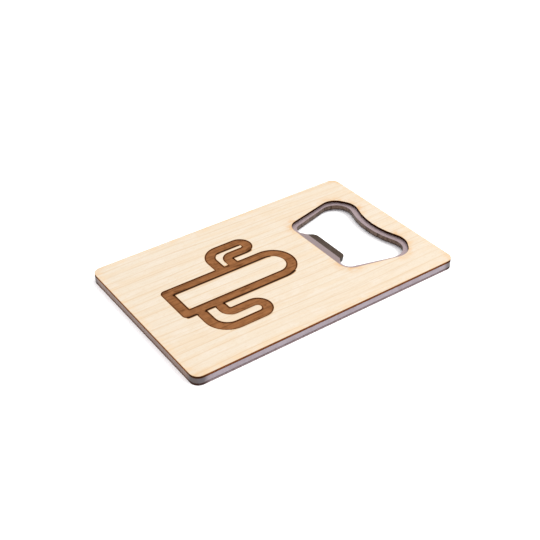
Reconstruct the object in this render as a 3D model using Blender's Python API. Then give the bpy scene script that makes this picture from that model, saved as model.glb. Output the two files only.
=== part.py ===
"""Card-format souvenir bottle opener: a steel card with a wood veneer bonded to each side.

The layers lie flat, from the table up: bottom veneer, adhesive film, steel plate, adhesive film, top
veneer. +X runs along the card towards the opener hole, +Z is up, and the origin is the centre of the
underside. The lifting tooth is a tab of the steel plate, bent down into the hole. The top veneer carries
a line drawing of a saguaro, engraved as a shallow recess.

Outlines are lists of corners (x, y, fillet radius). Those of the plates and holes are symmetric about
the card's long axis, so only the half on the -Y side is listed, starting and ending on the axis.
"""

import math

import bmesh
import bpy

MM = 0.001

# Card
CARD_LENGTH = 85.0 * MM
CARD_WIDTH = 54.0 * MM
CARD_CORNER = 2.5 * MM
CARD = (
    (-CARD_LENGTH / 2, 0.0, 0.0),
    (-CARD_LENGTH / 2, -CARD_WIDTH / 2, CARD_CORNER),
    (CARD_LENGTH / 2, -CARD_WIDTH / 2, CARD_CORNER),
    (CARD_LENGTH / 2, 0.0, 0.0),
)

# Layers
VENEER_THICKNESS = 0.6 * MM
FILM_THICKNESS = 0.1 * MM
STEEL_THICKNESS = 1.5 * MM
STEEL_EDGE_BREAK = 0.1 * MM  # deburred edges of the steel
FILM_BOTTOM = VENEER_THICKNESS
STEEL_BOTTOM = FILM_BOTTOM + FILM_THICKNESS
STEEL_TOP = STEEL_BOTTOM + STEEL_THICKNESS
TOP_VENEER_BOTTOM = STEEL_TOP + FILM_THICKNESS
CARD_TOP = TOP_VENEER_BOTTOM + VENEER_THICKNESS

# Opener hole: a straight side at the tooth, flaring to two round lobes, with the far side bulging back
# into the hole between them. The plate's hole is smaller, so a ledge of steel shows inside the veneers'.
VENEER_HOLE_BACK_X = 14.7 * MM
VENEER_HOLE = (
    (VENEER_HOLE_BACK_X, 0.0, 0.0),
    (VENEER_HOLE_BACK_X, -13.55 * MM, 3.9 * MM),
    (34.05 * MM, -18.15 * MM, 5.1 * MM),
    (38.4 * MM, -11.45 * MM, 5.6 * MM),
    (33.6 * MM, 0.0, 22.6 * MM),
)
STEEL_HOLE_BACK_X = 15.95 * MM
STEEL_HOLE = (
    (STEEL_HOLE_BACK_X, -12.1 * MM, 2.65 * MM),
    (33.15 * MM, -16.85 * MM, 5.3 * MM),
    (36.5 * MM, -11.85 * MM, 5.0 * MM),
    (31.8 * MM, 0.0, 25.4 * MM),
)

# Lifting tooth
TOOTH_ROOT_HALF_WIDTH = 9.35 * MM
TOOTH_ROOT_FILLET = 0.6 * MM
TOOTH_BEND_X = 17.0 * MM  # where the tab leaves the plane of the plate
TOOTH_BEND_HALF_WIDTH = 7.85 * MM
TOOTH_NECK_HALF_WIDTH = 7.4 * MM  # at the end of the bend
TOOTH_TIP_HALF_WIDTH = 6.8 * MM
TOOTH_TIP_ROUNDING = 1.3 * MM
TOOTH_BEND_ANGLE = math.radians(13.0)
TOOTH_BEND_RADIUS = 2.0 * MM  # of the upper face
TOOTH_STRAIGHT = 2.45 * MM  # beyond the bend
TOOTH_STUB = (
    (TOOTH_BEND_X, 0.0, 0.0),
    (TOOTH_BEND_X, -TOOTH_BEND_HALF_WIDTH, 0.0),
    (STEEL_HOLE_BACK_X, -TOOTH_ROOT_HALF_WIDTH, TOOTH_ROOT_FILLET),
)
TOOTH_BEND_STEPS = 3
TOOTH_TIP_STEPS = 6

# Engraved saguaro, lying along the card with its base towards -X
ENGRAVING_DEPTH = 0.15 * MM
STROKE = 3.1 * MM
SAGUARO_AXIS_Y = 0.45 * MM
TRUNK_HALF_WIDTH = 5.3 * MM
TRUNK_BASE_X = -31.05 * MM
TRUNK_TIP_X = 5.1 * MM
TRUNK = (
    (TRUNK_BASE_X, 0.0, 0.0),
    (TRUNK_BASE_X, -TRUNK_HALF_WIDTH, 0.0),
    (TRUNK_TIP_X, -TRUNK_HALF_WIDTH, TRUNK_HALF_WIDTH),
    (TRUNK_TIP_X, 0.0, 0.0),
)
# Each arm is one stroke that leaves the trunk, turns along it, doubles back and returns. Its corners are
# (x, distance from the trunk's axis, fillet radius), and its side is +1 towards +Y or -1 towards -Y.
ARMS = {
    "upper": (
        1,
        (
            (-13.3 * MM, TRUNK_HALF_WIDTH, 0.0),
            (-13.3 * MM, 14.7 * MM, 4.2 * MM),
            (-0.75 * MM, 14.7 * MM, 2.17 * MM),
            (-0.75 * MM, 10.36 * MM, 2.17 * MM),
            (-8.9 * MM, 10.36 * MM, 1.75 * MM),
            (-8.9 * MM, TRUNK_HALF_WIDTH, 0.0),
        ),
    ),
    "lower": (
        -1,
        (
            (-27.65 * MM, TRUNK_HALF_WIDTH, 0.0),
            (-27.65 * MM, 16.26 * MM, 5.45 * MM),
            (-12.1 * MM, 16.26 * MM, 2.68 * MM),
            (-12.1 * MM, 10.9 * MM, 2.68 * MM),
            (-22.1 * MM, 10.9 * MM, 1.95 * MM),
            (-22.1 * MM, TRUNK_HALF_WIDTH, 0.0),
        ),
    ),
}
CUTTER_CLEARANCE = 1.0 * MM  # cutters reach this far above the wood

ARC_STEP = math.radians(9.0)  # a fillet has a side for each step, or fewer
SAME_POINT = 1e-7
SHARP_EDGE = math.radians(40.0)

# name: (base colour, roughness, metallic)
MATERIALS = {
    "maple_veneer": ((0.83, 0.68, 0.47), 0.55, 0.0),
    "brushed_steel": ((0.56, 0.52, 0.54), 0.35, 1.0),
    "clear_adhesive": ((0.42, 0.36, 0.28), 0.45, 0.0),
}


# Outlines


def heading(start, end):
    """The direction of travel from one corner to another."""
    return math.atan2(end[1] - start[1], end[0] - start[0])


def turn_at(before, corner, after):
    """The direction into a corner, and the signed angle that the outline turns through there."""
    into = heading(before, corner)
    return into, math.remainder(heading(corner, after) - into, math.tau)


def filleted(corners, closed):
    """Points along an outline of (x, y, fillet radius) corners, with each fillet as an arc."""
    points = []
    for i, (x, y, radius) in enumerate(corners):
        at_end = not closed and i in (0, len(corners) - 1)
        if at_end or radius == 0:
            points.append((x, y))
            continue
        into, turn = turn_at(corners[i - 1], corners[i], corners[(i + 1) % len(corners)])
        reach = radius * math.tan(abs(turn) / 2)
        side = math.copysign(1.0, turn)
        centre_x = x - reach * math.cos(into) - side * radius * math.sin(into)
        centre_y = y - reach * math.sin(into) + side * radius * math.cos(into)
        steps = 2 * math.ceil(abs(turn) / (2 * ARC_STEP))
        for step in range(steps + 1):
            angle = into - side * math.pi / 2 + turn * step / steps
            points.append((centre_x + radius * math.cos(angle), centre_y + radius * math.sin(angle)))
    distinct = [p for i, p in enumerate(points) if i == 0 or math.dist(p, points[i - 1]) > SAME_POINT]
    if closed and math.dist(distinct[0], distinct[-1]) <= SAME_POINT:
        distinct.pop()
    return distinct


def moved_left(corners, distance, closed):
    """The corners of the parallel outline at this distance to the left of the direction of travel."""
    moved = []
    for i, (x, y, radius) in enumerate(corners):
        turn = 0.0
        if not closed and i == 0:
            into = heading(corners[0], corners[1])
        elif not closed and i == len(corners) - 1:
            into = heading(corners[-2], corners[-1])
        else:
            into, turn = turn_at(corners[i - 1], corners[i], corners[(i + 1) % len(corners)])
            radius = max(0.0, radius - math.copysign(1.0, turn) * distance) if turn else radius
        bisector = into + turn / 2
        reach = distance / math.cos(turn / 2)
        moved.append((x - reach * math.sin(bisector), y + reach * math.cos(bisector), radius))
    return moved


def whole(half):
    """The closed, anticlockwise corners of a symmetric outline, from its half on the -Y side."""
    mirrored = [(x, -y, radius) for x, y, radius in reversed(half) if y < -SAME_POINT]
    return list(half) + mirrored


def lower_half(half, inset=0.0):
    """Points of a symmetric outline on the -Y side, both ends on the axis, moved inwards by inset."""
    points = filleted(moved_left(whole(half), inset, closed=True), closed=True)
    end = next(i for i, (_, y) in enumerate(points) if i > 0 and abs(y) < SAME_POINT)
    run = points[: end + 1]
    return [(run[0][0], 0.0)] + run[1:-1] + [(run[-1][0], 0.0)]


def stroke_outline(path, width):
    """The closed outline of a stroke of this width along an open path of corners."""
    right = filleted(moved_left(path, -width / 2, closed=False), closed=False)
    left = filleted(moved_left(path, width / 2, closed=False), closed=False)
    return right + left[::-1]


# Meshes


def extruded(bm, faces, height):
    """Turns flat faces that look down into a solid of this height."""
    made = bmesh.ops.extrude_face_region(bm, geom=faces)["geom"]
    top = [item for item in made if isinstance(item, bmesh.types.BMVert)]
    bmesh.ops.translate(bm, verts=top, vec=(0.0, 0.0, height))
    bmesh.ops.recalc_face_normals(bm, faces=bm.faces)


def ring_plate(outer, hole, bottom, height, axis_y=0.0):
    """A flat plate with one hole, from the half outlines of both, as two faces joined along the axis."""
    bm = bmesh.new()
    loops = {}
    for name, points in (("outer", outer), ("hole", hole)):
        near = [bm.verts.new((x, axis_y + y, bottom)) for x, y in points]
        far = [bm.verts.new((x, axis_y - y, bottom)) for x, y in points[1:-1]]
        loops[name] = (near, [near[0]] + far + [near[-1]])
    for side in (0, 1):
        bm.faces.new(loops["outer"][side] + loops["hole"][side][::-1])
    extruded(bm, bm.faces[:], height)
    return bm


def solid_plate(points, bottom, height):
    """A flat plate with no hole, from its closed outline."""
    bm = bmesh.new()
    bm.faces.new([bm.verts.new((x, y, bottom)) for x, y in points])
    extruded(bm, bm.faces[:], height)
    return bm


def add_tooth(bm):
    """Draws the tooth out of the stub of the plate: round the bend, then straight on to its rounded tip."""
    bm.normal_update()
    stub = [
        face
        for face in bm.faces
        if abs(face.calc_center_median().x - TOOTH_BEND_X) < SAME_POINT and face.normal.x > 0.5
    ]
    inner_radius = TOOTH_BEND_RADIUS - STEEL_THICKNESS
    centre_z = STEEL_BOTTOM - inner_radius
    stations = []
    for step in range(1, TOOTH_BEND_STEPS + 1):
        part = step / TOOTH_BEND_STEPS
        narrowing = (TOOTH_BEND_HALF_WIDTH - TOOTH_NECK_HALF_WIDTH) * math.sin(math.pi / 2 * part)
        stations.append((TOOTH_BEND_ANGLE * part, 0.0, TOOTH_BEND_HALF_WIDTH - narrowing))
    taper = (TOOTH_NECK_HALF_WIDTH - TOOTH_TIP_HALF_WIDTH) / TOOTH_STRAIGHT
    for step in range(TOOTH_TIP_STEPS + 1):
        angle = math.pi / 2 * step / TOOTH_TIP_STEPS
        along = TOOTH_STRAIGHT - TOOTH_TIP_ROUNDING * (1 - math.sin(angle))
        rounding = TOOTH_TIP_ROUNDING * (1 - math.cos(angle))
        half_width = TOOTH_NECK_HALF_WIDTH - taper * along - rounding
        stations.append((TOOTH_BEND_ANGLE, along, half_width))
    for angle, along, half_width in stations:
        made = bmesh.ops.extrude_face_region(bm, geom=stub)["geom"]
        bmesh.ops.delete(bm, geom=stub, context="FACES")
        stub = [item for item in made if isinstance(item, bmesh.types.BMFace)]
        corners = {vert for face in stub for vert in face.verts}
        top_z = max(vert.co.z for vert in corners)
        for vert in corners:
            side = (vert.co.y > SAME_POINT) - (vert.co.y < -SAME_POINT)
            radius = TOOTH_BEND_RADIUS if vert.co.z > top_z - STEEL_THICKNESS / 2 else inner_radius
            vert.co.x = TOOTH_BEND_X + radius * math.sin(angle) + along * math.cos(angle)
            vert.co.y = side * half_width
            vert.co.z = centre_z + radius * math.cos(angle) - along * math.sin(angle)
    bmesh.ops.recalc_face_normals(bm, faces=bm.faces)


def break_edges(bm, width):
    """Chamfers every sharp edge of the solid."""
    sharp = [edge for edge in bm.edges if edge.calc_face_angle(0.0) > SHARP_EDGE]
    bmesh.ops.bevel(bm, geom=sharp, offset=width, segments=1, affect="EDGES", clamp_overlap=True)


# Objects


def add_object(name, bm, material=None):
    """A named object holding this mesh, shaded smooth except at its sharp edges."""
    mesh = bpy.data.meshes.new(name)
    bm.to_mesh(mesh)
    bm.free()
    mesh.shade_smooth()
    mesh.set_sharp_from_angle(angle=SHARP_EDGE)
    if material:
        mesh.materials.append(material)
    part = bpy.data.objects.new(name, mesh)
    bpy.context.scene.collection.objects.link(part)
    return part


def add_material(name, colour, roughness, metallic):
    material = bpy.data.materials.new(name)
    material.use_nodes = True
    shader = material.node_tree.nodes["Principled BSDF"]
    shader.inputs["Base Color"].default_value = (*colour, 1.0)
    shader.inputs["Roughness"].default_value = roughness
    shader.inputs["Metallic"].default_value = metallic
    return material


def veneer_sheet(name, bottom, height, material):
    """A sheet cut to the veneers' outline: the wood itself, or the film that bonds it."""
    bm = ring_plate(lower_half(CARD), lower_half(VENEER_HOLE), bottom, height)
    return add_object(name, bm, material)


def steel_plate(material):
    """The steel card with its hole, its ledge and the bent tooth."""
    bm = ring_plate(lower_half(CARD), lower_half(TOOTH_STUB + STEEL_HOLE), STEEL_BOTTOM, STEEL_THICKNESS)
    add_tooth(bm)
    break_edges(bm, STEEL_EDGE_BREAK)
    return add_object("steel_plate", bm, material)


def engrave(part, name, bm):
    """Cuts one stroke of the drawing out of the wood."""
    cutter = add_object(name, bm)
    cutter.hide_render = True
    cutter.display_type = "WIRE"
    cut = part.modifiers.new(name, "BOOLEAN")
    cut.operation = "DIFFERENCE"
    cut.solver = "EXACT"
    cut.object = cutter


def engraved_saguaro(part):
    floor = CARD_TOP - ENGRAVING_DEPTH
    height = ENGRAVING_DEPTH + CUTTER_CLEARANCE
    trunk_outer = lower_half(TRUNK, -STROKE / 2)
    trunk_inner = lower_half(TRUNK, STROKE / 2)
    engrave(part, "trunk_cutter", ring_plate(trunk_outer, trunk_inner, floor, height, SAGUARO_AXIS_Y))
    for name, (side, corners) in ARMS.items():
        path = [(x, SAGUARO_AXIS_Y + side * reach, radius) for x, reach, radius in corners]
        engrave(part, f"{name}_arm_cutter", solid_plate(stroke_outline(path, STROKE), floor, height))


for old in list(bpy.data.objects):
    bpy.data.objects.remove(old, do_unlink=True)

wood, steel, adhesive = (add_material(name, *looks) for name, looks in MATERIALS.items())
veneer_sheet("bottom_veneer", 0.0, VENEER_THICKNESS, wood)
veneer_sheet("bottom_adhesive_film", FILM_BOTTOM, FILM_THICKNESS, adhesive)
steel_plate(steel)
veneer_sheet("top_adhesive_film", STEEL_TOP, FILM_THICKNESS, adhesive)
engraved_saguaro(veneer_sheet("top_veneer", TOP_VENEER_BOTTOM, VENEER_THICKNESS, wood))
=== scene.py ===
"""Looks of the card-format bottle opener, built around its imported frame.

The two veneers are rebuilt as finer pieces from the outlines of their CAD nodes, so that every point of
them knows how far it lies from the laser's cuts. The steel plate and the adhesive films keep their CAD
meshes and get finished materials.
"""

import math

import bmesh
import bpy
import numpy as np
from mathutils import Matrix, Vector, geometry


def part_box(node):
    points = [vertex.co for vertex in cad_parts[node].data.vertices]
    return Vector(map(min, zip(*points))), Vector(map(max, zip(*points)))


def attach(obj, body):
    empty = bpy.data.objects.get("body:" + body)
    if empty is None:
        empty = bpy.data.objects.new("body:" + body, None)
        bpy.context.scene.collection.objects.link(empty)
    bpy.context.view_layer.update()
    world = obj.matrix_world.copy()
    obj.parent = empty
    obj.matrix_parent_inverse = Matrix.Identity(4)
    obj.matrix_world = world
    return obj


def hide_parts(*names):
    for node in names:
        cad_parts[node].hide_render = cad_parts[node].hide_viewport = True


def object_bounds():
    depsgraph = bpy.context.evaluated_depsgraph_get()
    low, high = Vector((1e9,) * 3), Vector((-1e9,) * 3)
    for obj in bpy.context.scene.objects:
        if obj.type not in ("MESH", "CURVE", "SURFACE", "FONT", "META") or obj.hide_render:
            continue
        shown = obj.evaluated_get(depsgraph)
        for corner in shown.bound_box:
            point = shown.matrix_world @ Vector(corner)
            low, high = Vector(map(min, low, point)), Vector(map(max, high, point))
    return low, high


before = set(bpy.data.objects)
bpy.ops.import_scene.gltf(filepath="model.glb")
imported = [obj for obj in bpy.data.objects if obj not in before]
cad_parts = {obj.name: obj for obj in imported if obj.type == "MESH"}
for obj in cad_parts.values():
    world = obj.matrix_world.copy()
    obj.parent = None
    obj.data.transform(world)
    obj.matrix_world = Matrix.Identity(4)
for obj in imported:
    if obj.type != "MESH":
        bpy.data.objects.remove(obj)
cad_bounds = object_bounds()

MM = 0.001
CARD_HALF_LENGTH = cad_bounds[1][0] / MM
CARD_HALF_WIDTH = cad_bounds[1][1] / MM

# Camera: it looks at a point on the card's upper face
CAMERA_TARGET = (-3.39 * MM, -0.80 * MM)
CAMERA_DISTANCE = 254.0 * MM
CAMERA_AZIMUTH = math.radians(-34.97)
CAMERA_ELEVATION = math.radians(35.81)
CAMERA_ROLL = math.radians(-0.53)
CAMERA_LENS = 61.73
CAMERA_SENSOR = 36.0
CAMERA_SHIFT_X = 0.0074
CAMERA_CLIP = 10 * MM

# Light
DOME_COLOUR = (1.0, 1.0, 1.0)
DOME_STRENGTH = 1.23
KEY_DIRECTION = (0.62, -0.62, 0.95)
KEY_DISTANCE = 0.9
KEY_SIZE = 0.55
KEY_POWER = 6.0
FLOOR_SIZE = 6.0
FLOOR_GAP = 0.02 * MM
FLOOR_ALBEDO = (0.93, 0.93, 0.93)
FLOOR_GLOW = 0.14  # it is lit from behind, like a light table
FLOOR_GLOW_COLOUR = (1.0, 0.90, 0.99)

# Veneer meshes
OUTLINE_STEP = 0.8 * MM  # the longest side of an outline
GRID_STEP = 0.7 * MM
GRID_ROW = GRID_STEP * math.sqrt(3) / 2
GRID_CLEARANCE = 0.3 * MM  # grid points keep this far from the outlines
LEVEL = 0.9  # the least upward part of a level face's normal
LEVEL_TOLERANCE = 0.02 * MM
DIGITS = 3  # decimals of a millimetre that outline points are kept to
SAME_POINT = 1e-9
SHARP_EDGE = math.radians(35.0)
FAR = 1.0  # a distance where there is nothing to measure to

# Heat of the laser, and the painted shadow along the strokes' near sides
CORNER_REACH = 1.7 * MM  # how far scorching spreads from a tight bend of a cut
TIGHT_BEND = 0.3 / MM  # the curvature that scorches fully
EASY_BEND = 0.06 / MM  # the curvature that starts to scorch
OUTLINE_HEAT = 0.4  # scorching at the card's corners, where the hole's is 1
SHADOW_FACING = (0.0, 1.0)  # painted shadow: the engraving is darkened most along the sides of its strokes that face this way, the near sides
FACING_SHARE = 0.92  # the least cosine between such a side's inward normal and that direction


# Outlines of the CAD nodes


def flat_loops(mesh, height):
    """The closed outlines, as lists of (x, y), of a mesh's level faces at this height."""
    sides = set()
    for face in mesh.polygons:
        corners = [mesh.vertices[i].co for i in face.vertices]
        if abs(face.normal.z) < LEVEL or any(abs(co.z - height) > LEVEL_TOLERANCE for co in corners):
            continue
        keys = [(round(co.x / MM, DIGITS), round(co.y / MM, DIGITS)) for co in corners]
        sides.update(side for side in zip(keys, keys[1:] + keys[:1]) if side[0] != side[1])
    following = {start: end for start, end in sides if (end, start) not in sides}
    loops = []
    while following:
        first = min(following)
        loop = [first]
        while following[loop[-1]] != first:
            loop.append(following[loop[-1]])
        for point in loop:
            del following[point]
        loops.append([(x * MM, y * MM) for x, y in loop])
    return sorted(loops, key=min)


def stepped(loop, longest):
    """The same outline with its long sides divided."""
    points = []
    for start, end in zip(loop, loop[1:] + loop[:1]):
        parts = max(1, math.ceil(math.dist(start, end) / longest))
        for i in range(parts):
            place = (a + (b - a) * i / parts for a, b in zip(start, end))
            points.append(tuple(round(value / MM, DIGITS) * MM for value in place))
    return points


def bends(loop):
    """(x, y, curvature) at each corner of an outline."""
    found = []
    for before, at, after in zip(loop[-1:] + loop[:-1], loop, loop[1:] + loop[:1]):
        into = math.atan2(at[1] - before[1], at[0] - before[0])
        out = math.atan2(after[1] - at[1], after[0] - at[0])
        turn = abs(math.remainder(out - into, math.tau))
        length = min(math.dist(before, at), math.dist(at, after))
        found.append((*at, turn / length))
    return found


def sides_of(loops):
    """Start and end points of every side of some outlines."""
    if not loops:
        return [], []
    starts = np.array([point for loop in loops for point in loop])
    ends = np.array([point for loop in loops for point in loop[1:] + loop[:1]])
    return starts, ends


def distances(points, loops, facing=None):
    """How far each point lies from the nearest side of these outlines, of all or of those facing this way."""
    nearest = np.full(len(points), FAR)
    for start, end in zip(*sides_of(loops)):
        along = end - start
        if facing and facing[1] * along[0] - facing[0] * along[1] < FACING_SHARE * math.hypot(*along):
            continue
        share = np.clip((points - start) @ along / (along @ along), 0.0, 1.0)
        nearest = np.minimum(nearest, np.linalg.norm(points - start - share[:, None] * along, axis=1))
    return nearest


def inside(points, loops):
    """Whether each point lies within an odd number of these outlines."""
    odd = np.zeros(len(points), bool)
    for start, end in zip(*sides_of(loops)):
        spans = (start[1] > points[:, 1]) != (end[1] > points[:, 1])
        if not spans.any():
            continue
        crossing = start[0] + (points[:, 1] - start[1]) * (end[0] - start[0]) / (end[1] - start[1])
        odd ^= spans & (points[:, 0] < crossing)
    return odd


def triangulated(loops, extra):
    """Points, triangles and their centres, filling these outlines' hull with the outlines kept as edges."""
    points = [point for loop in loops for point in loop] + extra
    edges = []
    start = 0
    for loop in loops:
        count = len(loop)
        edges += [(start + i, start + (i + 1) % count) for i in range(count)]
        start += count
    made = geometry.delaunay_2d_cdt([Vector(p) for p in points], edges, [], 0, SAME_POINT)
    points = np.array([tuple(point) for point in made[0]])
    centres = np.array([points[list(triangle)].mean(axis=0) for triangle in made[2]])
    return points, made[2], centres


# Veneer pieces


def point_grid(low, high):
    """Points at the corners of even triangles over a rectangle."""
    grid = []
    for i, y in enumerate(np.arange(low.y, high.y, GRID_ROW)):
        offset = (i % 2) * GRID_STEP / 2
        grid += [(x, y) for x in np.arange(low.x + offset, high.x, GRID_STEP)]
    return np.array(grid)


def veneer_mesh(name, cuts, strokes, grid, face_height, back_height, floor_height):
    """A closed sheet within the cuts, with the strokes sunk into its show face."""
    bm = bmesh.new()
    corners = {}

    def corner(point, height):
        key = tuple(round(value / MM, DIGITS) for value in (*point, height))
        if key not in corners:
            corners[key] = bm.verts.new((*point, height))
        return corners[key]

    points, triangles, centres = triangulated(cuts + strokes, grid)
    for triangle, is_wood, is_engraved in zip(triangles, inside(centres, cuts), inside(centres, strokes)):
        if is_wood:
            height = floor_height if is_engraved else face_height
            bm.faces.new([corner(points[i], height) for i in triangle])
    points, triangles, centres = triangulated(cuts, [])
    for triangle, is_wood in zip(triangles, inside(centres, cuts)):
        if is_wood:
            bm.faces.new([corner(points[i], back_height) for i in triangle])
    for loops, other in ((cuts, back_height), (strokes, floor_height)):
        for loop in loops:
            for a, b in zip(loop, loop[1:] + loop[:1]):
                wall = [corner(a, face_height), corner(b, face_height), corner(b, other), corner(a, other)]
                bm.faces.new(wall)
    bmesh.ops.recalc_face_normals(bm, faces=bm.faces)
    mesh = bpy.data.meshes.new(name)
    bm.to_mesh(mesh)
    bm.free()
    mesh.shade_smooth()
    mesh.set_sharp_from_angle(angle=SHARP_EDGE)
    return mesh


def scorching(places, outline, hole):
    """How far, 0 to 1, the tight bends of the card's outline and of its hole have scorched each point."""
    scorch = np.zeros(len(places))
    hot = [(*bend, OUTLINE_HEAT) for bend in bends(outline)] + [(*bend, 1.0) for bend in bends(hole)]
    for x, y, curvature, share in hot:
        weight = share * min(1.0, max(0.0, (curvature - EASY_BEND) / (TIGHT_BEND - EASY_BEND)))
        if weight:
            reach = np.linalg.norm(places - (x, y), axis=1) / CORNER_REACH
            scorch = np.maximum(scorch, weight * np.exp(-reach * reach))
    return scorch


def veneer_piece(name, node, face_height, back_height, floor_height=None):
    """A fine copy of a veneer, with its show face at one height and its glued face at the other.

    Each point stores how far a tight bend in a cut has scorched it and how far it lies, in millimetres, from
    the cuts. An engraved veneer's points also store that for the strokes, and for the strokes' near sides,
    where shadow is painted.
    """
    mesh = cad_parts[node].data
    outline, hole = flat_loops(mesh, back_height)
    cuts = [stepped(loop, OUTLINE_STEP) for loop in (outline, hole)]
    strokes = []
    if floor_height is not None:
        strokes = [stepped(loop, OUTLINE_STEP) for loop in flat_loops(mesh, floor_height)]
    grid = point_grid(*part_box(node))
    clear = inside(grid, cuts) & (distances(grid, cuts + strokes) > GRID_CLEARANCE)
    grid = [tuple(point) for point in grid[clear]]
    made = veneer_mesh(name, cuts, strokes, grid, face_height, back_height, floor_height)

    places = np.array([vertex.co[:2] for vertex in made.vertices])
    store(made, "cut_mm", distances(places, cuts) / MM)
    store(made, "scorch", scorching(places, outline, hole))
    if strokes:
        store(made, "stroke_mm", distances(places, strokes) / MM)
        # painted shadow: how far each point lies from the strokes' near sides, which the wood darkens as
        # shade
        store(made, "shadowed_side_mm", distances(places, strokes, SHADOW_FACING) / MM)

    piece = bpy.data.objects.new(name, made)
    bpy.context.scene.collection.objects.link(piece)
    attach(piece, "root")
    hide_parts(node)
    return piece


def store(mesh, name, values):
    """Give each point of a mesh a value that its material can read."""
    attribute = mesh.attributes.new(name, "FLOAT", "POINT")
    attribute.data.foreach_set("value", np.asarray(values, np.float32))


# Materials


class Shade:
    """A material's node tree, with short calls for the nodes used here. Inputs are numbers or sockets."""

    def __init__(self, name):
        self.material = bpy.data.materials.new(name)
        self.material.use_nodes = True
        self.tree = self.material.node_tree
        self.shader = self.tree.nodes["Principled BSDF"]

    def node(self, kind, inputs=(), **settings):
        node = self.tree.nodes.new(kind)
        for key, value in settings.items():
            setattr(node, key, value)
        for key, value in dict(inputs).items():
            self.plug(node.inputs[key], value)
        return node

    def plug(self, socket, value):
        if isinstance(value, bpy.types.NodeSocket):
            self.tree.links.new(value, socket)
        else:
            socket.default_value = value

    def set(self, **values):
        for key, value in values.items():
            self.plug(self.shader.inputs[key.replace("_", " ")], value)

    def math(self, operation, *values):
        return self.node("ShaderNodeMath", dict(enumerate(values)), operation=operation).outputs[0]

    def ramp(self, value, low, high, out_low=0.0, out_high=1.0):
        """Smoothly from out_low at low to out_high at high."""
        inputs = {"Value": value, "From Min": low, "From Max": high, "To Min": out_low, "To Max": out_high}
        return self.node("ShaderNodeMapRange", inputs, interpolation_type="SMOOTHSTEP").outputs[0]

    def mix(self, share, a, b):
        """Colour b over colour a."""
        node = self.tree.nodes.new("ShaderNodeMix")
        node.data_type = "RGBA"
        self.plug(node.inputs[0], share)
        for socket, colour in ((node.inputs[6], a), (node.inputs[7], b)):
            self.plug(socket, colour if isinstance(colour, bpy.types.NodeSocket) else (*colour, 1.0))
        return node.outputs[2]

    def place(self, scale, shift=(0.0, 0.0, 0.0)):
        """The point's place in millimetres, scaled along each axis."""
        where = self.node("ShaderNodeTexCoord").outputs["Object"]
        factors = tuple(value / MM for value in scale)
        scaled = self.node("ShaderNodeVectorMath", {0: where, 1: factors, 2: shift}, operation="MULTIPLY_ADD")
        return scaled.outputs[0]

    def noise(self, vector, detail, roughness=0.5):
        inputs = {"Vector": vector, "Scale": 1.0, "Detail": detail, "Roughness": roughness}
        return self.node("ShaderNodeTexNoise", inputs).outputs[0]

    def stored(self, name):
        return self.node("ShaderNodeAttribute", attribute_name=name).outputs["Fac"]

    def bump(self, height, distance, strength):
        inputs = {"Height": height, "Distance": distance, "Strength": strength}
        return self.node("ShaderNodeBump", inputs).outputs[0]

    def axis(self, vector, name):
        return self.node("ShaderNodeSeparateXYZ", {0: vector}).outputs[name]


# Wood: bare, heated, engraved, and where it was cut through
MAPLE = (0.563, 0.490, 0.394)
MAPLE_LINE = (0.500, 0.368, 0.240)
MAPLE_BAND = (0.562, 0.463, 0.347)
MAPLE_GLOW = (0.575, 0.506, 0.420)
TOASTED = (0.585, 0.420, 0.250)
SCORCHED = (0.500, 0.275, 0.110)
ENGRAVED = (0.248, 0.105, 0.041)
ENGRAVED_DARK = (0.095, 0.035, 0.012)
BURNT = (0.042, 0.010, 0.002)
CHARRED = (0.016, 0.004, 0.001)
STROKE_WALL = (0.075, 0.022, 0.006)
BROWNED = (0.125, 0.038, 0.011)
BROWNED_ENDS = (0.180, 0.070, 0.025)
# Painted light: the plain veneer's cut edges are painted grey-mauve and lighter than charred wood, for the
# bright floor's light on them, and browner at the card's ends
FLOOR_LIT_SIDES = (0.188, 0.147, 0.154)
FLOOR_LIT_ENDS = (0.165, 0.112, 0.092)

# Growth lines, in millimetres
RING_PITCH = 2.95
RING_WIDTH = 0.5
RING_CREST = 0.96  # of the pitch, where a line is darkest
RING_SLOPE = -0.012  # across the card, for each millimetre along it
RING_DRIFT = 5.0
RING_RIPPLE = 0.3
FINE_PITCH = 1.35
FINE_DRIFT = 4.0

# Where looks change, in millimetres. A pair is the stretch over which the change happens.
END_BAND = (1.5, 0.5)  # in from the card's short ends
SIDE_BAND = (1.5, 0.9)  # in from its long sides
CORNER_BAND = (4.5, 2.0)  # in from its square corners, along and across added together
WARM_REACH = 2.6  # from a cut
RIM_REACH = 0.22
HAZE_REACH = 1.2  # from the engraving
STROKE_RIM = 0.14
SIDE_SHADOW_BROWN = (0.30, 0.55)  # painted shadow, out from a stroke's near sides
SIDE_SHADOW_BLACK = (0.16, 0.38)
SIDE_SHADOW_INSIDE = (0.40, 0.80)  # in from them
STROKE_BURN = (0.14, 0.56)  # in from any side of a stroke
SIDE_SHADOW_FADE = (-9.5, -7.5)  # across the card, where the painted shadow along the strokes' near sides gives out
RECESS_EDGE = (0.02, 0.12)  # above the engraving's floor
RASTER_PITCH = 0.12  # between the laser's passes
CUT_WALL = (0.4, 0.8)  # from a cut, so that any wall beyond it is a stroke's
TOOTH_END = (20.2, 21.2)  # along the card
TOOTH_HALF_WIDTH = (8.6, 9.4)
SHADOW_HEIGHT = (0.75, 1.25)  # painted shadow: above the table, up the hole's walls, below which they go black

# How far up a face looks, as the upward part of its normal
WALL_UP = (0.35, 0.65)
BENT_UP = (0.80, 0.95)
FLAT_UP = (0.985, 0.998)

# Relief and shine. The wood's reliefs are shares of its bump.
BUMP_WOOD = 0.03 * MM
BUMP_STEEL = 0.01 * MM
FIBRE_RELIEF = 0.35
RING_RELIEF = -0.4
RASTER_RELIEF = 6.0
WOOD_SHINE = 0.16

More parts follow.
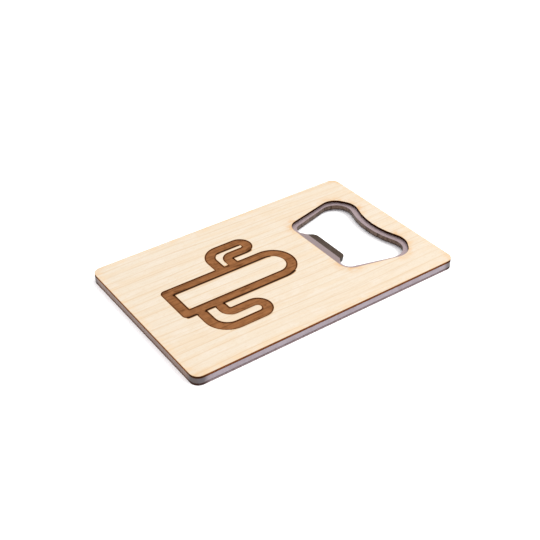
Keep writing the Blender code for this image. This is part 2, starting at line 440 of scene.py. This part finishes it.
# Where each veneer lies in the wood's patterns
ENGRAVED_SHIFT = (0.0, 0.0, 0.0)
PLAIN_SHIFT = (31.0, 17.0, 5.0)


def lines(shade, across, pitch):
    """Thin lines along the card, 0 to 1, each sharp on one side and fading away on the other."""
    phase = shade.math("FRACT", shade.math("DIVIDE", across, pitch))
    rise = shade.ramp(phase, RING_CREST - RING_WIDTH / pitch, RING_CREST)
    return shade.math("MULTIPLY", rise, shade.ramp(phase, RING_CREST, 1.0, 1.0, 0.0))


def growth_rings(shade, shift):
    """The growth lines, 0 to 1: nearly straight along the card, and coming and going."""
    drift = shade.noise(shade.place((0.011, 0.045, 0.0), shift), 2.0)
    ripple = shade.noise(shade.place((0.07, 0.35, 0.0), shift), 1.0)
    where = shade.place((1.0, 1.0, 1.0), shift)
    across = shade.math("MULTIPLY_ADD", shade.axis(where, "X"), -RING_SLOPE, shade.axis(where, "Y"))
    across = shade.math("MULTIPLY_ADD", drift, RING_DRIFT, across)
    across = shade.math("MULTIPLY_ADD", ripple, RING_RIPPLE, across)
    coarse = lines(shade, across, RING_PITCH)
    fine = lines(shade, shade.math("MULTIPLY_ADD", drift, FINE_DRIFT, across), FINE_PITCH)
    strong = shade.ramp(shade.noise(shade.place((0.03, 0.33, 0.0), shift), 1.0), 0.34, 0.60, 0.45, 0.95)
    faint = shade.ramp(shade.noise(shade.place((0.05, 0.50, 9.0), shift), 1.0), 0.40, 0.66, 0.0, 0.55)
    return shade.math("MAXIMUM", shade.math("MULTIPLY", coarse, strong), shade.math("MULTIPLY", fine, faint))


def wood_grain(shade, shift):
    """The patterns, 0 to 1, that the wood's colours and bumps share."""

    def pattern(scale, *settings):
        return shade.noise(shade.place(scale, shift), *settings)

    mottle = pattern((0.45, 0.60, 1.0), 2.0, 0.6)
    return {
        "rings": growth_rings(shade, shift),
        "fibres": pattern((0.14, 5.0, 1.0), 3.0, 0.6),
        "flecks": pattern((0.9, 7.0, 1.0), 1.0),
        "bands": pattern((0.014, 0.42, 0.0), 2.0, 0.55),
        "clouds": pattern((0.16, 0.30, 3.0), 2.0, 0.55),
        "mottle": mottle,
        "patches": shade.ramp(mottle, 0.38, 0.66),
        "striae": pattern((3.2, 3.2, 0.5), 2.0, 0.6),
    }


def card_edge(shade):
    """Three masks: 1 at the card's short ends, long sides and corners, and 0 further in."""
    where = shade.place((1.0, 1.0, 1.0))
    x = shade.math("ABSOLUTE", shade.axis(where, "X"))
    y = shade.math("ABSOLUTE", shade.axis(where, "Y"))
    ends = shade.ramp(x, *(CARD_HALF_LENGTH - inset for inset in END_BAND))
    sides = shade.ramp(y, *(CARD_HALF_WIDTH - inset for inset in SIDE_BAND))
    farthest = CARD_HALF_LENGTH + CARD_HALF_WIDTH
    corners = shade.ramp(shade.math("ADD", x, y), *(farthest - inset for inset in CORNER_BAND))
    return ends, sides, corners


def bare_wood(shade, grain):
    """Pale wood with its bands, fibres and growth lines."""
    colour = shade.mix(shade.ramp(grain["bands"], 0.38, 0.68), MAPLE, MAPLE_BAND)
    colour = shade.mix(shade.ramp(grain["clouds"], 0.48, 0.72, 0.0, 0.8), colour, MAPLE_GLOW)
    colour = shade.mix(shade.ramp(grain["fibres"], 0.48, 0.74, 0.0, 0.40), colour, MAPLE_LINE)
    colour = shade.mix(shade.ramp(grain["flecks"], 0.55, 0.76, 0.0, 0.60), colour, MAPLE_LINE)
    return shade.mix(shade.math("MULTIPLY", grain["rings"], 0.80), colour, MAPLE_LINE)


def heated_wood(shade, grain, colour):
    """The same wood, warmed near the cuts, and scorched along them and at their tight bends."""
    cut = shade.stored("cut_mm")
    warmth = shade.math("MULTIPLY", shade.ramp(cut, 0.0, WARM_REACH, 0.60, 0.0), grain["patches"])
    colour = shade.mix(warmth, colour, TOASTED)
    uneven = shade.ramp(grain["mottle"], 0.30, 0.66, 0.15, 0.75)
    colour = shade.mix(shade.math("MULTIPLY", shade.stored("scorch"), uneven), colour, SCORCHED)
    uneven = shade.ramp(grain["mottle"], 0.2, 0.7, 0.5, 1.0)
    rim = shade.math("MULTIPLY", shade.ramp(cut, 0.0, RIM_REACH, 0.6, 0.0), uneven)
    return shade.mix(rim, colour, SCORCHED)


def engraved_wood(shade, grain, shift, colour, in_recess):
    """The same wood with the engraving: its floor burnt brown and blackened along the strokes' sides, with
    painted shadow along their near sides.
    """
    stroke = shade.stored("stroke_mm")
    haze = shade.math("MULTIPLY", shade.ramp(stroke, 0.0, HAZE_REACH, 0.22, 0.0), grain["patches"])
    colour = shade.mix(haze, colour, TOASTED)
    colour = shade.mix(shade.ramp(stroke, 0.0, STROKE_RIM, 0.85, 0.0), colour, SCORCHED)
    # Painted shadow: the strokes' near sides are darkened inside the recess and just outside it, as if their
    # walls shaded the floor; this fades out across the card.
    shadowed_side = shade.stored("shadowed_side_mm")
    weight = shade.ramp(shade.axis(shade.place((1.0, 1.0, 1.0)), "Y"), *SIDE_SHADOW_FADE, 0.15, 0.97)
    colour = shade.mix(shade.ramp(shadowed_side, *SIDE_SHADOW_BROWN, weight, 0.0), colour, SCORCHED)
    colour = shade.mix(shade.ramp(shadowed_side, *SIDE_SHADOW_BLACK, weight, 0.0), colour, CHARRED)
    smears = shade.noise(shade.place((0.30, 0.75, 6.0), shift), 2.0, 0.6)
    recess = shade.mix(shade.ramp(grain["mottle"], 0.34, 0.70, 0.0, 0.40), ENGRAVED, ENGRAVED_DARK)
    recess = shade.mix(shade.ramp(smears, 0.58, 0.72, 0.0, 0.70), recess, ENGRAVED_DARK)
    recess = shade.mix(shade.ramp(grain["fibres"], 0.46, 0.72, 0.0, 0.40), recess, ENGRAVED_DARK)
    recess = shade.mix(shade.math("MULTIPLY", grain["rings"], 0.75), recess, ENGRAVED_DARK)
    recess = shade.mix(shade.ramp(stroke, *STROKE_BURN, 0.92, 0.0), recess, BURNT)
    recess = shade.mix(shade.ramp(shadowed_side, *SIDE_SHADOW_INSIDE, weight, 0.0), recess, CHARRED)
    return shade.mix(in_recess, colour, recess)


def cut_wood(shade, grain, side_colour, end_colour):
    """Walls: charred in the hole, in the given side and end colours round the card, dark brown round the
    strokes.
    """
    striae = grain["striae"]
    char = shade.mix(shade.ramp(striae, 0.42, 0.75), CHARRED, BURNT)
    ends, sides, corners = card_edge(shade)
    outer_walls = shade.mix(ends, side_colour, end_colour)
    outer_walls = shade.mix(shade.ramp(striae, 0.40, 0.78, 0.0, 0.6), outer_walls, BURNT)
    outer_walls = shade.mix(shade.math("MULTIPLY", corners, 0.85), outer_walls, CHARRED)
    char = shade.mix(shade.math("MAXIMUM", ends, sides), char, outer_walls)
    return shade.mix(shade.ramp(shade.stored("cut_mm"), *CUT_WALL), char, STROKE_WALL)


def wood_material(name, shift, side_colour, end_colour, engraving_height=None):
    """A veneer's wood, with walls of these colours round the card, and engraved down to this height."""
    shade = Shade(name)
    grain = wood_grain(shade, shift)
    surface = heated_wood(shade, grain, bare_wood(shade, grain))
    height = shade.math("MULTIPLY", grain["fibres"], FIBRE_RELIEF)
    height = shade.math("MULTIPLY_ADD", grain["rings"], RING_RELIEF, height)
    dull = shade.ramp(grain["fibres"], 0.3, 0.7, 0.52, 0.66)
    in_recess = 0.0
    if engraving_height is not None:
        where = shade.place((1.0, 1.0, 1.0))
        edge = (engraving_height / MM + above for above in RECESS_EDGE)
        in_recess = shade.ramp(shade.axis(where, "Z"), *edge, 1.0, 0.0)
        surface = engraved_wood(shade, grain, shift, surface, in_recess)
        raster = shade.math("PINGPONG", shade.axis(where, "Y"), RASTER_PITCH)
        raster = shade.math("MULTIPLY", raster, in_recess)
        height = shade.math("MULTIPLY_ADD", raster, RASTER_RELIEF, height)
        dull = shade.math("MAXIMUM", dull, shade.math("MULTIPLY", in_recess, 0.8))
    up = shade.math("ABSOLUTE", shade.axis(shade.node("ShaderNodeNewGeometry").outputs["True Normal"], "Z"))
    is_wall = shade.ramp(up, *WALL_UP, 1.0, 0.0)
    surface = shade.mix(is_wall, surface, cut_wood(shade, grain, side_colour, end_colour))
    dull = shade.math("MAXIMUM", dull, shade.math("MULTIPLY", is_wall, 0.85))
    burnt = shade.math("MAXIMUM", is_wall, in_recess)
    shine = shade.math("MULTIPLY_ADD", burnt, -WOOD_SHINE, WOOD_SHINE)
    shade.set(Base_Color=surface, Roughness=dull, Specular_IOR_Level=shine)
    shade.set(Normal=shade.bump(height, BUMP_WOOD, 0.7))
    return shade.material


# Steel: its faces, its outer edges, and the hole's walls
STEEL = (0.385, 0.300, 0.312)
STEEL_BRUSHED = (0.265, 0.200, 0.208)
STEEL_ROOT_SHADE = (0.235, 0.185, 0.180)
STEEL_BENT = (0.050, 0.025, 0.009)
STEEL_SIDE = (0.300, 0.262, 0.290)
STEEL_SIDE_WORN = (0.250, 0.205, 0.220)
STEEL_END_SHADE = (0.236, 0.163, 0.128)
STEEL_CORNER_SHADE = (0.072, 0.064, 0.066)
STEEL_HOLE_WALL = (0.125, 0.083, 0.064)
STEEL_DARK = (0.042, 0.026, 0.017)
STEEL_BLACK = (0.014, 0.008, 0.005)
FILM_AMBER = (0.045, 0.020, 0.010)
FILM_SOOT = (0.016, 0.007, 0.004)


def steel_material():
    """Satin sheet steel: brushed on the flats, plain on the outer edges, dark on the hole's walls.

    Shade is painted at the card's ends and corners, round the tooth's root and along the foot of the hole's
    walls.
    """
    shade = Shade("brushed_steel")
    where = shade.place((1.0, 1.0, 1.0))
    up = shade.axis(shade.node("ShaderNodeNewGeometry").outputs["True Normal"], "Z")
    brushed = shade.noise(shade.place((0.25, 11.0, 1.0)), 3.0, 0.65)
    cloudy = shade.noise(shade.place((0.35, 0.35, 0.35)), 3.0, 0.6)
    striae = shade.noise(shade.place((1.8, 1.8, 0.4)), 3.0, 0.7)
    ends, sides, corners = card_edge(shade)
    outside = shade.math("MAXIMUM", ends, sides)
    along_tooth = shade.ramp(shade.axis(where, "X"), *TOOTH_END, 1.0, 0.0)
    across_tooth = shade.ramp(shade.math("ABSOLUTE", shade.axis(where, "Y")), *TOOTH_HALF_WIDTH, 1.0, 0.0)
    on_tooth = shade.math("MULTIPLY", along_tooth, across_tooth)

    flat = shade.mix(shade.ramp(brushed, 0.35, 0.70, 0.0, 0.60), STEEL, STEEL_BRUSHED)
    # Painted shade: the flat steel round the tooth's root is darkened
    flat = shade.mix(shade.math("MULTIPLY", on_tooth, 0.6), flat, STEEL_ROOT_SHADE)
    outer = shade.mix(shade.ramp(cloudy, 0.35, 0.70, 0.0, 0.60), STEEL_SIDE, STEEL_SIDE_WORN)
    # Painted shade: the outer edge is darker and browner at the card's short ends, which the key light
    # reaches less
    outer = shade.mix(shade.math("MULTIPLY", ends, 0.9), outer, STEEL_END_SHADE)
    # Painted shade: the outer edge goes nearly black round the card's rounded corners, for shade and dark
    # reflection there
    outer = shade.mix(shade.math("MULTIPLY", corners, 0.85), outer, STEEL_CORNER_SHADE)
    walls = shade.mix(shade.ramp(striae, 0.40, 0.68), STEEL_HOLE_WALL, STEEL_DARK)
    # Painted shadow: the foot of the hole's steel walls is black, for the shade in the gap under the steel
    walls = shade.mix(shade.ramp(shade.axis(where, "Z"), *SHADOW_HEIGHT, 0.85, 0.0), walls, STEEL_BLACK)
    walls = shade.mix(shade.math("MULTIPLY", on_tooth, 0.85), walls, STEEL_BLACK)
    bent = shade.mix(shade.ramp(brushed, 0.35, 0.70), STEEL_BENT, STEEL_DARK)
    walls = shade.mix(shade.ramp(up, *BENT_UP), walls, bent)
    edges = shade.mix(outside, walls, outer)
    colour = shade.mix(shade.ramp(up, *FLAT_UP), edges, flat)
    shade.set(Base_Color=colour, Metallic=shade.math("MULTIPLY_ADD", outside, 0.15, 0.75))
    shade.set(Roughness=shade.ramp(cloudy, 0.3, 0.7, 0.34, 0.46), Specular_IOR_Level=0.2)
    shade.set(Normal=shade.bump(shade.math("ADD", brushed, striae), BUMP_STEEL, 0.5))
    return shade.material


def film_material():
    """Clear acrylic adhesive, amber and sooted where the laser has cut it."""
    shade = Shade("clear_adhesive")
    soot = shade.noise(shade.place((1.6, 1.6, 3.0)), 3.0, 0.6)
    colour = shade.mix(shade.ramp(soot, 0.35, 0.7), FILM_AMBER, FILM_SOOT)
    shade.set(Base_Color=colour, Roughness=shade.ramp(soot, 0.3, 0.7, 0.4, 0.6), Specular_IOR_Level=0.1)
    shade.set(Normal=shade.bump(soot, BUMP_STEEL, 0.5))
    return shade.material


def dress(node, material):
    """Give a CAD node this material."""
    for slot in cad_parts[node].material_slots:
        slot.material = material


# Pieces

top_low, top_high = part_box("top_veneer")
heights = {round(vertex.co.z, 6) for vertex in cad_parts["top_veneer"].data.vertices}
engraving_height = sorted(heights)[1]  # between the glued face and the show face
top = veneer_piece("engraved_veneer", "top_veneer", top_high.z, top_low.z, engraving_height)
maple = wood_material("engraved_maple", ENGRAVED_SHIFT, BROWNED, BROWNED_ENDS, engraving_height)
top.data.materials.append(maple)
bottom_low, bottom_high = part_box("bottom_veneer")
bottom = veneer_piece("plain_veneer", "bottom_veneer", bottom_low.z, bottom_high.z)
# its cut edges round the card get painted floor light
bottom.data.materials.append(wood_material("plain_maple", PLAIN_SHIFT, FLOOR_LIT_SIDES, FLOOR_LIT_ENDS))
dress("steel_plate", steel_material())
films = film_material()
dress("top_adhesive_film", films)
dress("bottom_adhesive_film", films)


# Floor, light and camera


def floor():
    half = FLOOR_SIZE / 2
    mesh = bpy.data.meshes.new("floor")
    height = cad_bounds[0][2] - FLOOR_GAP
    corners = [(-half, -half, height), (half, -half, height), (half, half, height), (-half, half, height)]
    mesh.from_pydata(corners, [], [(0, 1, 2, 3)])
    shade = Shade("floor")
    shade.set(Base_Color=(*FLOOR_ALBEDO, 1.0), Roughness=0.9, Specular_IOR_Level=0.0)
    shade.set(Emission_Color=(*FLOOR_GLOW_COLOUR, 1.0), Emission_Strength=FLOOR_GLOW)
    mesh.materials.append(shade.material)
    made = bpy.data.objects.new("floor", mesh)
    bpy.context.scene.collection.objects.link(made)


def softbox(name, direction, distance, size, power):
    light = bpy.data.lights.new(name, "AREA")
    light.shape = "SQUARE"
    light.size = size
    light.energy = power
    made = bpy.data.objects.new(name, light)
    bpy.context.scene.collection.objects.link(made)
    towards = Vector(direction).normalized()
    made.location = towards * distance
    made.rotation_euler = towards.to_track_quat("Z", "Y").to_euler()


def camera():
    data = bpy.data.cameras.new("camera")
    data.sensor_width = CAMERA_SENSOR
    data.lens = CAMERA_LENS
    data.shift_x = CAMERA_SHIFT_X
    data.clip_start = CAMERA_CLIP
    made = bpy.data.objects.new("camera", data)
    bpy.context.scene.collection.objects.link(made)
    turn = Matrix.Rotation(CAMERA_AZIMUTH, 4, "Z") @ Matrix.Rotation(math.pi / 2 - CAMERA_ELEVATION, 4, "X")
    turn = turn @ Matrix.Rotation(CAMERA_ROLL, 4, "Z")
    back = Matrix.Translation((0.0, 0.0, CAMERA_DISTANCE))
    target = Matrix.Translation((*CAMERA_TARGET, cad_bounds[1][2]))
    made.matrix_world = target @ turn @ back
    bpy.context.scene.camera = made


world = bpy.data.worlds.new("dome")
bpy.context.scene.world = world
world.use_nodes = True
dome = world.node_tree.nodes["Background"]
dome.inputs["Color"].default_value = (*DOME_COLOUR, 1.0)
dome.inputs["Strength"].default_value = DOME_STRENGTH
floor()
softbox("key", KEY_DIRECTION, KEY_DISTANCE, KEY_SIZE, KEY_POWER)
camera()
bpy.context.scene.view_settings.view_transform = "Standard"
